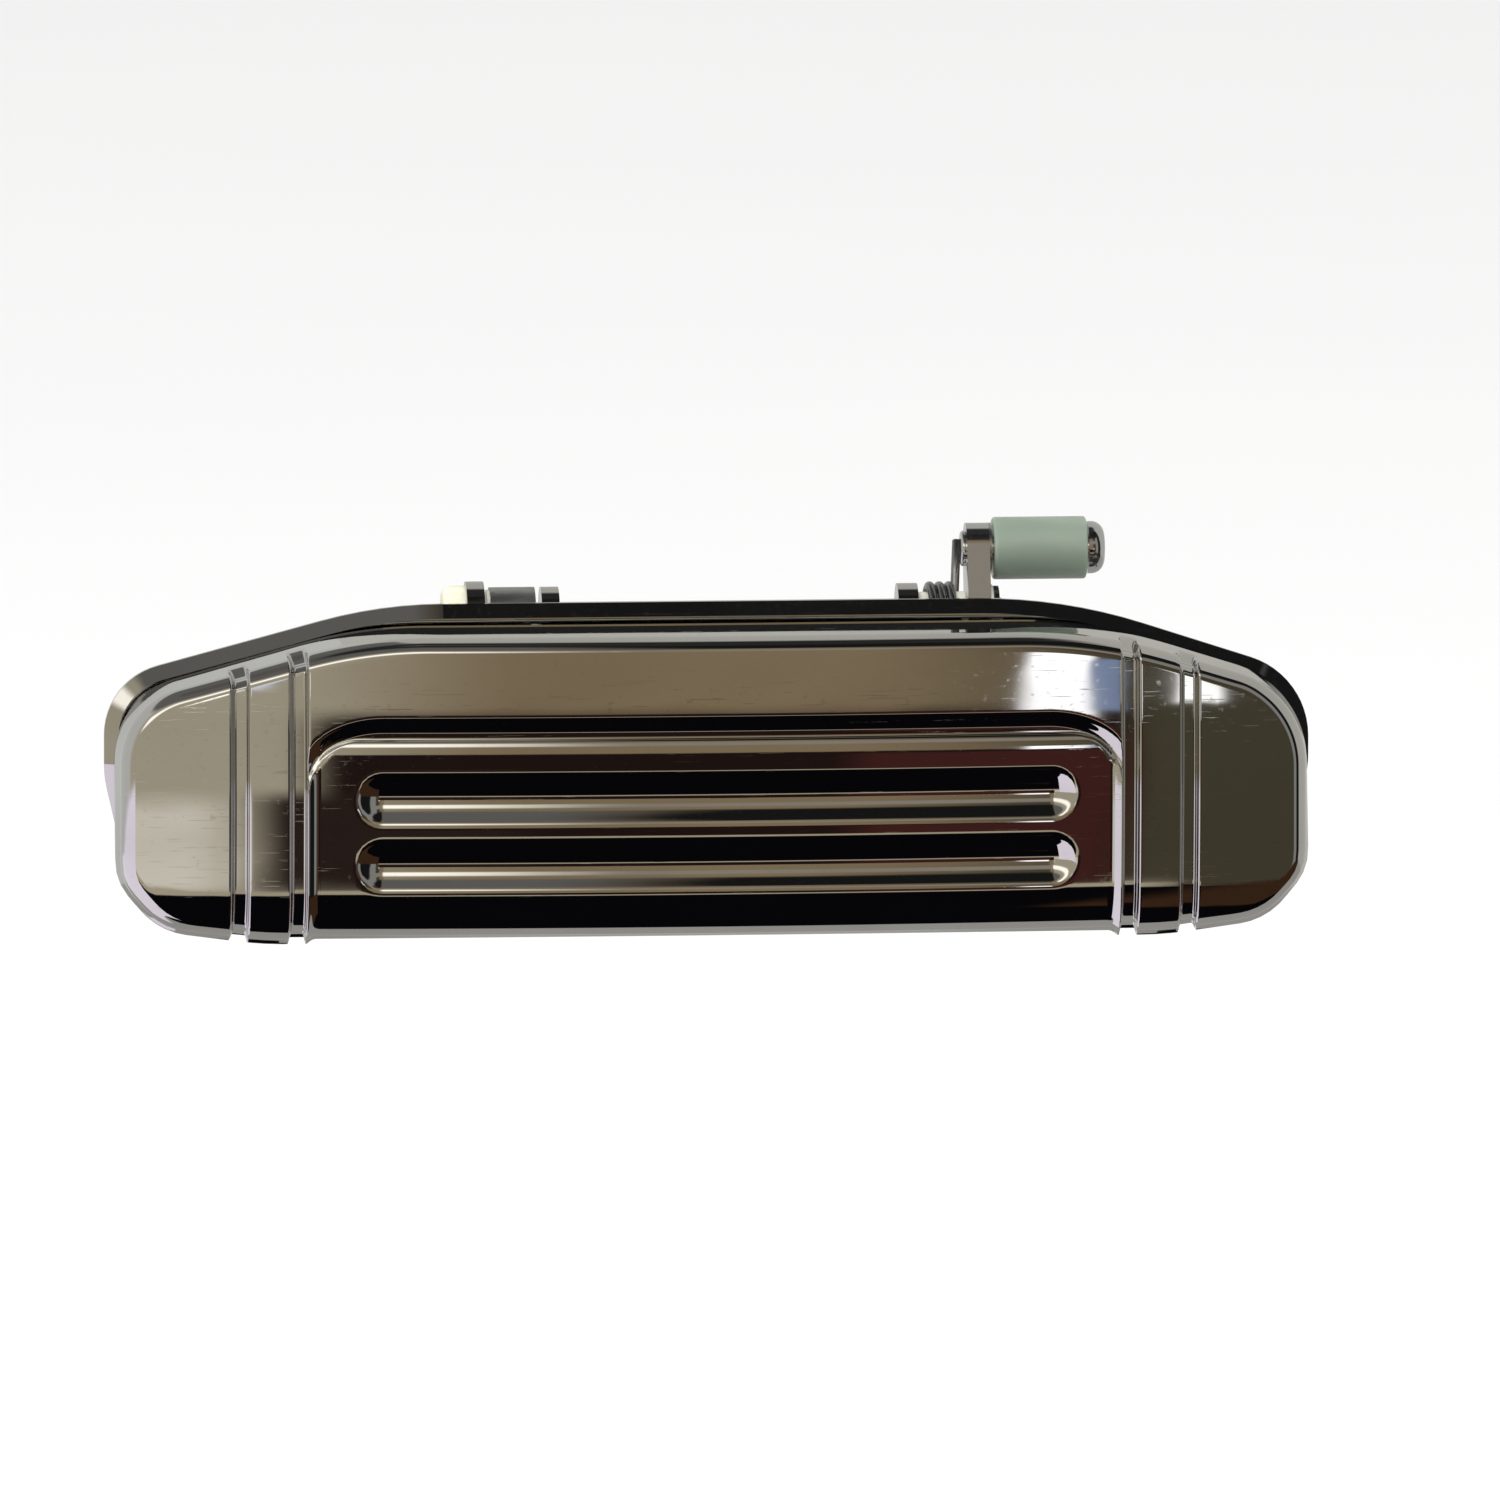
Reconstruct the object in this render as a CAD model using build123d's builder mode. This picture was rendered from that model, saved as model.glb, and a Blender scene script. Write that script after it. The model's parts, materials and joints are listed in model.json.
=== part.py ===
"""Exterior car door handle: chrome pull paddle on a flanged base, with a return spring and a release roller.

Millimetres. +X runs along the handle to the right, +Z is up, and -Y faces out of the door.
The origin is the centre of the face that lies on the door skin (the back of the gasket).
"""

from math import asin, atan2, degrees, hypot, radians
import os

from build123d import *

os.makedirs("parts", exist_ok=True)

# ---------------------------------------------------------------- driving dimensions
# base flange and its gasket, stacked outwards from the door skin at y = 0
GASKET_T = 1.5
FLANGE_T = 2.5
FLANGE_BACK = -GASKET_T
FLANGE_FRONT = FLANGE_BACK - FLANGE_T
FLANGE_BEVEL_W = 2.3  # the flange's front edge slopes back all round: width, then depth
FLANGE_BEVEL_D = 1.5
MERGE = 0.5  # how far a feature runs into the body that it grows from
PLINTH_FRONT = -6.2  # raised pads of the base under the paddle's end lobes
PLINTH_X = 69.0
PLINTH_INSET = 3.2
GASKET_INSET = 0.6
GASKET_WINDOW_W = 137.0
GASKET_WINDOW_Z = (-24.0, 26.4)
GASKET_WINDOW_CORNER = 11.0

# paddle
PADDLE_FRONT = -24.0  # the proudest point of the front, at the middle
PADDLE_RIM_TOP = -8.0  # back edge of the shell wall, at the middle of the top
PADDLE_TOP_Z = 26.6
RIM_TILT = 7.4  # degrees: the wall is shorter at the bottom, where fingers reach in
RIM_BOW_R = 2000.0
RIM_HALF_WIDTH = 110.0
PADDLE_EDGE_R = 3.6
BOW_R = 800.0  # the front bows back towards both ends
BOW_HALF_ANGLE = 9.0
SECTION_R = 250.0  # slight bow from top to bottom
SECTION_CROWN_Z = 5.0
CURL_TOP_Z = -13.5  # where the bottom curl starts
CURL_END = (-16.9, -27.8)
WALL = 2.4
CHANNEL_X = (-79.8, -70.0, 69.4, 79.4)
CHANNEL_W = 3.3
CHANNEL_DEPTHS = (1.3, 1.7, 1.7, 1.3)
MOAT_TOP_Z = 12.9  # a deeper moat runs over the top of the panel, from one inner channel to the other
MOAT_CORNER = 11.0
MOAT_DEPTH = 2.0
PANEL_TOP_Z = 8.6
PANEL_CORNER = 9.0
PANEL_DEPTH = 1.2
SLOT_LENGTH = 120.0
SLOT_H = 7.8
SLOT_Z = (-1.1, -12.4)
SLOT_DEPTH = 1.9
FLOOR_SHIFT = 5.7  # from the front to the pocket floor behind the panel
LOBE_FLOOR_SHIFT = 3.4  # and in the end lobes, which are hollow right up to the wall
LOBE_X = 76.0
LOBE_EDGE_X = 90.0  # beyond this, and above and below this z, the front has a rounded edge
EDGE_Z = 24.0
# the cutting blocks reach from here to well in front of the paddle, and well past it all round
BLOCK_BACK = 6.0
BLOCK_FRONT = -30.0
BLOCK_TOP = 32.0
BLOCK_SIDE = 110.0

# hinge
HINGE_Y = 8.0
HINGE_Z = 26.5
PIN_R = 2.0
PIN_RUN = 0.05  # running clearance of everything that turns on a pin
BUSH_R = 3.0
BUSH_FLANGE_R = 4.2
BUSH_FLANGE_T = 0.5
PIN_LEFT = -43.0
PIN_RIGHT = 50.6
CAP_X = (-44.0, -40.0)
CAP_R = 4.9
CLIP_X = (48.9, 49.7)
CLIP_R = 4.0
CLIP_GROOVE_R = 1.6

# base ears that carry the hinge pin: (x from, x to, radius round the pin)
EARS = ((-40.0, -37.0, 5.6), (-27.4, -24.4, 4.6), (32.6, 36.0, 4.6))
EAR_ROOT_Z = (15.0, 25.2)
WINDOWS = ((-37.0, -27.4), (43.2, 50.0))  # gaps in the base that the two arms reach through
WINDOW_Z = (7.0, 25.6)
STOP_PAD_T = 0.8
STOP_PAD_DEPTH = 0.9
PIN_CHAMFER = 0.4
CAP_EDGE_R = 1.4
CLIP_EYE_R = 0.8
CLIP_EYES = ((-3.0, 1.4), (3.0, 1.4))  # from the pin's centre

# finger dish in the base
DISH_DEEP_Y = 9.0
DISH_WALL = 2.0
DISH_DEEP = (104.0, 16.0, -2.0)  # width, height, centre z
DISH_MOUTH = (122.0, 39.0, -3.9)
DISH_CORNER = 7.0

# mounting studs
STUD_SPOTS = ((-84.0, 0.0), (84.0, 0.0))
STUD_R = 3.0
STUD_END = 18.0
STUD_ROOT = -8.5
STUD_ROOT_R = 4.0  # serrated root pressed into the base
STUD_BOSS_R = 6.5
STUD_BOSS_FRONT = -9.5
STUD_CHAMFER = 0.8

# rubber buttons that the closed paddle rests against
BUMPER_X = 90.0
BUMPER_Z = -8.0
BUMPER_R = 3.2
BUMPER_EDGE_R = 0.8
REST_GAP = 0.3
REST_PAD_Y = -11.0
REST_PAD_T = 7.0

# carrier plate screwed to the back of the shell
CARRIER_FRONT = -15.4
CARRIER_T = 1.8
CARRIER_BACK = CARRIER_FRONT + CARRIER_T
CARRIER_X = (-52.0, 56.5)
CARRIER_Z = (-12.0, 22.0)
CARRIER_CORNER = 5.0
ARM_X = (-36.0, -28.4)
ARM_FOOT_Z = (8.0, 17.0)
SCREWS = ((-40.0, -6.8), (40.0, -6.8), (-40.0, 18.0), (40.0, 18.0))
SCREW_R = 1.5
SCREW_HEAD_R = 2.8
SCREW_HEAD_T = 2.0
SCREW_TIP = -18.7
SCREW_BOSS_R = 3.4
SCREW_BOSS_T = 3.0
SCREW_EDGE_R = 0.8
RECESS = (3.0, 0.7, 1.1)  # length, width and depth of the cross recess

# release lever, its roller and the roller's rivet
LEVER_X = (44.4, 48.2)
LEVER_BOSS_R = 4.6
LEVER_END_R = 4.3
FOOT_X = 56.0
FOOT_Z = (2.0, 16.0)
FOOT_T = 2.0
LEVER_RIVETS = ((51.8, 5.2), (51.8, 12.8))
RIVET_R = 1.5
RIVET_HEAD_R = 2.8
RIVET_HEAD_T = 1.2
RIVET_EDGE_R = 0.9
ROLLER_Y = 11.0
ROLLER_Z = 36.5
ROLLER_R = 5.25
ROLLER_X = (48.95, 64.7)
ROLLER_GAP = 0.3
ROLLER_EDGE_R = 0.5
ROLLER_PIN_R = 2.5
ROLLER_SHANK_R = 2.0
PEEN_R = 3.0
PEEN_T = 0.8
PEEN_EDGE_R = 0.5
DOME_R = 4.4
DOME_T = 2.8
DOME_EDGE_R = 2.2
WASHER_T = 0.45
WASHER_R = 4.3

# return spring
WIRE_R = 0.75
COIL_R = 4.1
COIL_X = (37.4, 42.6)
SLEEVE_X = (36.4, 44.0)
SLEEVE_R = 3.1
FRONT_LEG = 8.2
REAR_LEG = 12.6
LEG_GAP = 0.1


# ---------------------------------------------------------------- shared geometry
def front_plane(y):
    """A sketch plane at this y whose extrusions run outwards, towards -Y. Its axes are X and Z."""
    return Plane.XZ.offset(-y)


def side_plane(x):
    """A sketch plane at this x whose extrusions run towards +X. Its axes are Y and Z."""
    return Plane.YZ.offset(x)


def paddle_outline():
    """Front outline of the paddle: flat top that falls to the ends, and cut lower corners."""
    return FilletPolyline(
        (64, 26.6), (100, 15.2), (100.2, -15.5), (93, -23.8), (76, -26),
        (-76, -26), (-93, -23.8), (-100.2, -15.5), (-100.2, 15.3), (-59, 26.6),
        radius=[90, 17, 9, 12, 60, 60, 12, 9, 14, 80], close=True,
    )


def flange_outline():
    """Front outline of the base flange: it shows above and beside the paddle, and hides below it."""
    return FilletPolyline(
        (59.5, 29.6), (101, 16.1), (101, 1), (97.5, -16), (90, -24.6), (74, -26.3),
        (-74, -26.3), (-90, -24.6), (-97.5, -16), (-101.4, 1), (-101.4, 17.3), (-55, 29.6),
        radius=[90, 14, 20, 10, 12, 40, 40, 12, 10, 20, 12, 80], close=True,
    )


def bow_plane():
    """The Y-Z plane swung to the left end of the bow. Its origin is on the bow's axis."""
    return Plane(
        origin=(0, PADDLE_FRONT + BOW_R, 0),
        x_dir=Vector(0, 1, 0).rotate(Axis.Z, -BOW_HALF_ANGLE),
        z_dir=Vector(1, 0, 0).rotate(Axis.Z, -BOW_HALF_ANGLE),
    )


def bow():
    """Revolve the sketch drawn on the bow plane from the left end to the right end."""
    revolve(axis=Axis((0, PADDLE_FRONT + BOW_R, 0), (0, 0, 1)), revolution_arc=2 * BOW_HALF_ANGLE)


def behind_front(shift):
    """Everything behind the paddle's front surface when that surface is moved back by shift."""
    to_axis = PADDLE_FRONT + BOW_R

    def front(z):
        return PADDLE_FRONT + shift + (z - SECTION_CROWN_Z) ** 2 / (2 * SECTION_R) - to_axis

    back = BLOCK_BACK - to_axis
    with BuildPart() as block:
        with BuildSketch(bow_plane()):
            with BuildLine():
                face = ThreePointArc(
                    (front(BLOCK_TOP), BLOCK_TOP), (front(9.0), 9.0), (front(CURL_TOP_Z), CURL_TOP_Z)
                )
                curl_end = (CURL_END[0] + shift - to_axis, CURL_END[1])
                curl = TangentArc(face @ 1, curl_end, tangent=face % 1)
                Polyline(curl @ 1, (back, curl_end[1]), (back, BLOCK_TOP), face @ 0)
            make_face()
        bow()
    return block.part


def behind_rim():
    """Everything behind the shell's back edge, which bows less than the front and leans in at the bottom."""
    right = RIM_HALF_WIDTH
    end_y = PADDLE_RIM_TOP + right**2 / (2 * RIM_BOW_R)
    back = -BLOCK_FRONT
    with BuildPart() as block:
        with BuildSketch(Plane.XY.offset(-2 * BLOCK_TOP)):
            with BuildLine():
                ThreePointArc((-right, end_y), (0, PADDLE_RIM_TOP), (right, end_y))
                Polyline((right, end_y), (right, back), (-right, back), (-right, end_y))
            make_face()
        extrude(amount=4 * BLOCK_TOP)
    return block.part.rotate(Axis((0, PADDLE_RIM_TOP, PADDLE_TOP_Z), (1, 0, 0)), -RIM_TILT)


def outline_prism(inset=0.0):
    """The paddle's outline, moved in by inset, run from front to back."""
    with BuildPart() as prism:
        with BuildSketch(front_plane(BLOCK_BACK)):
            with BuildLine():
                paddle_outline()
            make_face()
            if inset:
                offset(amount=-inset, kind=Kind.ARC)
        extrude(amount=BLOCK_BACK - BLOCK_FRONT)
    return prism.part


def upright_slab(x_from, x_to):
    """A slab between two x, right through from front to back."""
    with BuildPart() as slab:
        with BuildSketch(front_plane(BLOCK_BACK)):
            with Locations(((x_from + x_to) / 2, 0)):
                Rectangle(x_to - x_from, 2 * BLOCK_TOP)
        extrude(amount=BLOCK_BACK - BLOCK_FRONT)
    return slab.part


def arch_prism(left, right, top, corner):
    """An arch with rounded upper corners that is open at the bottom, run from front to back."""
    with BuildPart() as prism:
        with BuildSketch(front_plane(BLOCK_BACK)):
            with BuildLine():
                FilletPolyline(
                    (left, -BLOCK_TOP), (left, top), (right, top), (right, -BLOCK_TOP),
                    radius=[0, corner, corner, 0], close=True,
                )
            make_face()
        extrude(amount=BLOCK_BACK - BLOCK_FRONT)
    return prism.part


def slot_prism():
    """The two long slots with round ends."""
    with BuildPart() as prism:
        with BuildSketch(front_plane(BLOCK_BACK)):
            with Locations(*((0, z) for z in SLOT_Z)):
                SlotOverall(SLOT_LENGTH, SLOT_H)
        extrude(amount=BLOCK_BACK - BLOCK_FRONT)
    return prism.part


def tube(x_from, x_to, outer_r, inner_r, y=HINGE_Y, z=HINGE_Z):
    """A ring or sleeve along X."""
    with BuildPart() as ring:
        with BuildSketch(side_plane(x_from)):
            with Locations((y, z)):
                Circle(outer_r)
                Circle(inner_r, mode=Mode.SUBTRACT)
        extrude(amount=x_to - x_from)
    return ring.part


def rod_along_x(x_from, x_to, r, y=HINGE_Y, z=HINGE_Z):
    """A plain cylinder along X."""
    with BuildPart() as rod:
        with BuildSketch(side_plane(x_from)):
            with Locations((y, z)):
                Circle(r)
        extrude(amount=x_to - x_from)
    return rod.part


def arm_profile(foot_low, foot_high):
    """Swan-neck arm in the Y-Z plane: it drops from the hinge and runs forward to the carrier."""
    Polyline(
        (CARRIER_BACK, foot_low),
        (HINGE_Y - 11.0, HINGE_Z - 15.0),
        (HINGE_Y - 4.0, HINGE_Z - 11.0),
        (HINGE_Y + 3.4, HINGE_Z - 3.1),
        (HINGE_Y - 3.6, HINGE_Z + 2.8),
        (HINGE_Y - 7.7, HINGE_Z - 6.9),
        (CARRIER_BACK, foot_high),
        close=True,
    )


def ear_profile():
    """Web of a hinge ear in the Y-Z plane, from the back of the flange to the pin."""
    root_y = FLANGE_BACK - MERGE
    low, high = EAR_ROOT_Z
    Polyline(
        (root_y, low),
        (root_y, high),
        (HINGE_Y - 5.6, high),
        (HINGE_Y - 4.0, HINGE_Z + 2.2),
        (HINGE_Y, HINGE_Z),
        (HINGE_Y + 2.4, HINGE_Z - 3.8),
        (HINGE_Y - 5.0, low + 1.0),
        close=True,
    )


def dish_section(y, margin=0.0):
    """Width, height and centre z of the finger dish at this depth, grown by margin all round."""
    depth = (y - FLANGE_FRONT) / (DISH_DEEP_Y - FLANGE_FRONT)
    width, height, centre_z = (
        mouth + (deep - mouth) * depth for mouth, deep in zip(DISH_MOUTH, DISH_DEEP)
    )
    return width + 2 * margin, height + 2 * margin, centre_z


def save(piece, name):
    """Label a finished piece and write it as its own STEP file."""
    piece.part.label = name
    export_step(piece.part, f"parts/{name}.step")


# ---------------------------------------------------------------- base
with BuildPart() as base_frame:
    # flange with a rounded outer edge
    with BuildSketch(front_plane(FLANGE_BACK)):
        with BuildLine():
            flange_outline()
        make_face()
    extrude(amount=FLANGE_T)
    flange_front = base_frame.faces().sort_by(Axis.Y)[0]
    chamfer(flange_front.outer_wire().edges(), FLANGE_BEVEL_W, FLANGE_BEVEL_D, reference=flange_front)
    # raised pads at the two ends, under the lobes of the paddle
    with BuildSketch(front_plane(FLANGE_FRONT)):
        with BuildLine():
            flange_outline()
        make_face()
        offset(amount=-PLINTH_INSET, kind=Kind.ARC)
        Rectangle(2 * PLINTH_X, 2 * BLOCK_TOP, mode=Mode.SUBTRACT)
    extrude(amount=FLANGE_FRONT - PLINTH_FRONT)
    # finger dish: its outside behind the flange, then its inside through the flange
    for wall, front_y, mode in ((DISH_WALL, FLANGE_BACK, Mode.ADD), (0, FLANGE_FRONT, Mode.SUBTRACT)):
        for y in (DISH_DEEP_Y, front_y):
            width, height, centre_z = dish_section(y, wall)
            with BuildSketch(front_plane(y + (wall if y == DISH_DEEP_Y else 0))):
                with Locations((0, centre_z)):
                    RectangleRounded(width, height, DISH_CORNER + wall)
        loft(mode=mode)
    # windows for the two arms
    for x_from, x_to in WINDOWS:
        with BuildSketch(front_plane(2 * HINGE_Y)):
            with Locations(((x_from + x_to) / 2, sum(WINDOW_Z) / 2)):
                Rectangle(x_to - x_from, WINDOW_Z[1] - WINDOW_Z[0])
        extrude(amount=3 * HINGE_Y, mode=Mode.SUBTRACT)
    # ears behind the flange for the hinge pin
    for x_from, x_to, ear_r in EARS:
        with BuildSketch(side_plane(x_from)):
            with BuildLine():
                ear_profile()
            make_face()
            with Locations((HINGE_Y, HINGE_Z)):
                Circle(ear_r)
        extrude(amount=x_to - x_from)
    add(rod_along_x(PIN_LEFT, PIN_RIGHT, PIN_R), mode=Mode.SUBTRACT)
    # bosses that hold the studs, hidden under the end lobes
    with BuildSketch(front_plane(FLANGE_FRONT + MERGE)):
        with Locations(*STUD_SPOTS):
            Circle(STUD_BOSS_R)
    extrude(amount=FLANGE_FRONT + MERGE - STUD_BOSS_FRONT)
    with BuildSketch(front_plane(FLANGE_BACK)):
        with Locations(*STUD_SPOTS):
            Circle(STUD_ROOT_R)
    extrude(amount=FLANGE_BACK - STUD_ROOT, mode=Mode.SUBTRACT)
save(base_frame, "base_frame")

with BuildPart() as base_gasket:
    with BuildSketch(front_plane(0)):
        with BuildLine():
            flange_outline()
        make_face()
        offset(amount=-GASKET_INSET, kind=Kind.ARC)
        with Locations((0, sum(GASKET_WINDOW_Z) / 2)):
            window_h = GASKET_WINDOW_Z[1] - GASKET_WINDOW_Z[0]
            RectangleRounded(GASKET_WINDOW_W, window_h, GASKET_WINDOW_CORNER, mode=Mode.SUBTRACT)
        with Locations(*STUD_SPOTS):
            Circle(STUD_ROOT_R, mode=Mode.SUBTRACT)
    extrude(amount=GASKET_T)
save(base_gasket, "base_gasket")

with BuildPart() as mounting_studs:
    for y, length, r in ((0, -STUD_ROOT, STUD_ROOT_R), (STUD_END, STUD_END, STUD_R)):
        with BuildSketch(front_plane(y)):
            with Locations(*STUD_SPOTS):
                Circle(r)
        extrude(amount=length)
    chamfer(mounting_studs.faces().sort_by(Axis.Y)[-2:].edges(), STUD_CHAMFER)
save(mounting_studs, "mounting_studs")

with BuildPart() as hinge_pin:
    add(rod_along_x(PIN_LEFT, PIN_RIGHT, PIN_R))
    chamfer(hinge_pin.edges().filter_by(GeomType.CIRCLE), PIN_CHAMFER)
    add(tube(*CLIP_X, 2 * PIN_R, CLIP_GROOVE_R), mode=Mode.SUBTRACT)
save(hinge_pin, "hinge_pin")

with BuildPart() as hinge_pin_cap:
    add(rod_along_x(*CAP_X, CAP_R))
    fillet(hinge_pin_cap.edges().filter_by(GeomType.CIRCLE).sort_by(Axis.X)[0], CAP_EDGE_R)
    add(rod_along_x(PIN_LEFT, CAP_X[1], PIN_R), mode=Mode.SUBTRACT)
save(hinge_pin_cap, "hinge_pin_cap")

with BuildPart() as hinge_pin_clip:
    with BuildSketch(side_plane(CLIP_X[0])):
        with Locations((HINGE_Y, HINGE_Z)):
            Circle(CLIP_R)
            Circle(CLIP_GROOVE_R, mode=Mode.SUBTRACT)
        with Locations((HINGE_Y, HINGE_Z - CLIP_R)):
            Rectangle(2 * CLIP_GROOVE_R, 2 * CLIP_R, mode=Mode.SUBTRACT)
        with Locations(*((HINGE_Y + dy, HINGE_Z + dz) for dy, dz in CLIP_EYES)):
            Circle(CLIP_EYE_R, mode=Mode.SUBTRACT)
    extrude(amount=CLIP_X[1] - CLIP_X[0])
save(hinge_pin_clip, "hinge_pin_clip")

with BuildPart() as spring_sleeve:
    add(tube(*SLEEVE_X, SLEEVE_R, PIN_R + PIN_RUN))
save(spring_sleeve, "spring_sleeve")

# Torsion spring: the front leg bears on the flange, the rear leg on the roller's rivet.
lean = atan2(ROLLER_Z - HINGE_Z, ROLLER_Y - HINGE_Y)
reach = hypot(ROLLER_Z - HINGE_Z, ROLLER_Y - HINGE_Y)
leg_angle = lean - radians(90) + asin((COIL_R - PEEN_R - WIRE_R - LEG_GAP) / reach)
coil_turns = 3 + (90 + degrees(leg_angle)) / 360
coil_length = COIL_X[1] - COIL_X[0]
spring_plane = Plane(origin=(COIL_X[0], HINGE_Y, HINGE_Z), x_dir=(0, 0, -1), z_dir=(1, 0, 0))
coil = spring_plane * Helix(pitch=coil_length / coil_turns, height=coil_length, radius=COIL_R)
with BuildPart() as return_spring:
    with BuildLine() as spring_path:
        Line(coil @ 0 - (coil % 0) * FRONT_LEG, coil @ 0)
        add(coil)
        Line(coil @ 1, coil @ 1 + (coil % 1) * REAR_LEG)
    wire = spring_path.wires()[0]
    with BuildSketch(Plane(origin=wire @ 0, z_dir=wire % 0)):
        Circle(WIRE_R)
    sweep(path=wire)
save(return_spring, "return_spring")

for side, name in ((-1, "rest_bumper_left"), (1, "rest_bumper_right")):
    with BuildPart() as rest_bumper:
        with BuildSketch(front_plane(PLINTH_FRONT)):
            with Locations((side * BUMPER_X, BUMPER_Z)):
                Circle(BUMPER_R)
        extrude(amount=PLINTH_FRONT - REST_PAD_Y - REST_GAP)
        fillet(rest_bumper.edges().sort_by(Axis.Y)[0], BUMPER_EDGE_R)
    save(rest_bumper, name)

with BuildPart() as open_stop_pads:
    for x_from, x_to in WINDOWS:
        with BuildSketch(front_plane(FLANGE_BACK)):
            with Locations(((x_from + x_to) / 2, WINDOW_Z[1] - STOP_PAD_T / 2)):
                Rectangle(x_to - x_from, STOP_PAD_T)
        extrude(amount=STOP_PAD_DEPTH)
save(open_stop_pads, "open_stop_pads")

# ---------------------------------------------------------------- paddle
# What is cut from the front, each feature down to its own depth: upright channels, moat, panel and slots.
front_cuts = [
    upright_slab(x - CHANNEL_W / 2, x + CHANNEL_W / 2) - behind_front(depth)
    for x, depth in zip(CHANNEL_X, CHANNEL_DEPTHS)
]
moat_left, moat_right = CHANNEL_X[1] - CHANNEL_W / 2, CHANNEL_X[2] + CHANNEL_W / 2
moat = arch_prism(moat_left, moat_right, MOAT_TOP_Z, MOAT_CORNER)
panel = arch_prism(moat_left + CHANNEL_W, moat_right - CHANNEL_W, PANEL_TOP_Z, PANEL_CORNER)
front_cuts.append(moat - panel - behind_front(MOAT_DEPTH))
front_cuts.append(panel - behind_front(PANEL_DEPTH))
front_cuts.append(slot_prism() - behind_front(PANEL_DEPTH + SLOT_DEPTH))

# What is cut from the back: a shallow pocket behind the panel and deeper ones in the end lobes.
pocket = outline_prism(WALL)
lobe_pocket = pocket & behind_front(LOBE_FLOOR_SHIFT)
lobe_slabs = [upright_slab(-BLOCK_SIDE, -LOBE_X), upright_slab(LOBE_X, BLOCK_SIDE)]
back_cuts = [behind_rim(), pocket & behind_front(FLOOR_SHIFT)]
back_cuts += [lobe_pocket & slab for slab in lobe_slabs]

with BuildPart() as paddle_shell:
    add(outline_prism())
    add(behind_front(0), mode=Mode.INTERSECT)
    front_edges = [
        e for e in paddle_shell.edges()
        if e.center().Y < PADDLE_RIM_TOP
        and (abs(e.center().Z) > EDGE_Z or abs(e.center().X) > LOBE_EDGE_X)
    ]
    fillet(front_edges, PADDLE_EDGE_R)
    for cut in back_cuts:
        add(cut, mode=Mode.SUBTRACT)
    # bosses for the carrier screws, and pads that rest on the bumpers
    with BuildSketch(front_plane(CARRIER_FRONT)):
        with Locations(*SCREWS):
            Circle(SCREW_BOSS_R)
    extrude(amount=SCREW_BOSS_T)
    with BuildSketch(front_plane(REST_PAD_Y)):
        with Locations((-BUMPER_X, BUMPER_Z), (BUMPER_X, BUMPER_Z)):
            Circle(BUMPER_R)
    extrude(amount=REST_PAD_T)
    with BuildSketch(front_plane(CARRIER_FRONT + MERGE)):
        with Locations(*SCREWS):
            Circle(SCREW_R)
    extrude(amount=CARRIER_FRONT + MERGE - SCREW_TIP, mode=Mode.SUBTRACT)
    for cut in front_cuts:
        add(cut, mode=Mode.SUBTRACT)
save(paddle_shell, "paddle_shell")

with BuildPart() as paddle_carrier:
    with BuildSketch(front_plane(CARRIER_BACK)):
        with Locations((sum(CARRIER_X) / 2, sum(CARRIER_Z) / 2)):
            RectangleRounded(CARRIER_X[1] - CARRIER_X[0], CARRIER_Z[1] - CARRIER_Z[0], CARRIER_CORNER)
    extrude(amount=CARRIER_T)
    with BuildSketch(side_plane(ARM_X[0])):
        with BuildLine():
            arm_profile(*ARM_FOOT_Z)
        make_face()
        with Locations((HINGE_Y, HINGE_Z)):
            Circle(LEVER_BOSS_R)
    extrude(amount=ARM_X[1] - ARM_X[0])
    add(rod_along_x(*ARM_X, BUSH_R), mode=Mode.SUBTRACT)
    with BuildSketch(front_plane(CARRIER_BACK)):
        with Locations(*SCREWS):
            Circle(SCREW_R)
        with Locations(*LEVER_RIVETS):
            Circle(RIVET_R)
    extrude(amount=CARRIER_T, mode=Mode.SUBTRACT)
save(paddle_carrier, "paddle_carrier")

with BuildPart() as carrier_screws:
    with BuildSketch(front_plane(CARRIER_BACK)):
        with Locations(*SCREWS):
            Circle(SCREW_R)
    extrude(amount=CARRIER_BACK - SCREW_TIP)
    with BuildSketch(front_plane(CARRIER_BACK + SCREW_HEAD_T)):
        with Locations(*SCREWS):
            Circle(SCREW_HEAD_R)
    extrude(amount=SCREW_HEAD_T)
    fillet(carrier_screws.faces().sort_by(Axis.Y)[-len(SCREWS):].edges(), SCREW_EDGE_R)
    with BuildSketch(front_plane(CARRIER_BACK + SCREW_HEAD_T)):
        for angle in (0, 90):
            with Locations(*(Location((*spot, 0), (0, 0, angle)) for spot in SCREWS)):
                Rectangle(RECESS[0], RECESS[1])
    extrude(amount=RECESS[2], mode=Mode.SUBTRACT)
save(carrier_screws, "carrier_screws")

for name, (x_from, x_to), flange_x in (
    ("hinge_bush_left", ARM_X, ARM_X[0] - BUSH_FLANGE_T),
    ("hinge_bush_right", LEVER_X, LEVER_X[1]),
):
    with BuildPart() as hinge_bush:
        add(tube(x_from, x_to, BUSH_R, PIN_R + PIN_RUN))
        add(tube(flange_x, flange_x + BUSH_FLANGE_T, BUSH_FLANGE_R, PIN_R + PIN_RUN))
    save(hinge_bush, name)

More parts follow.
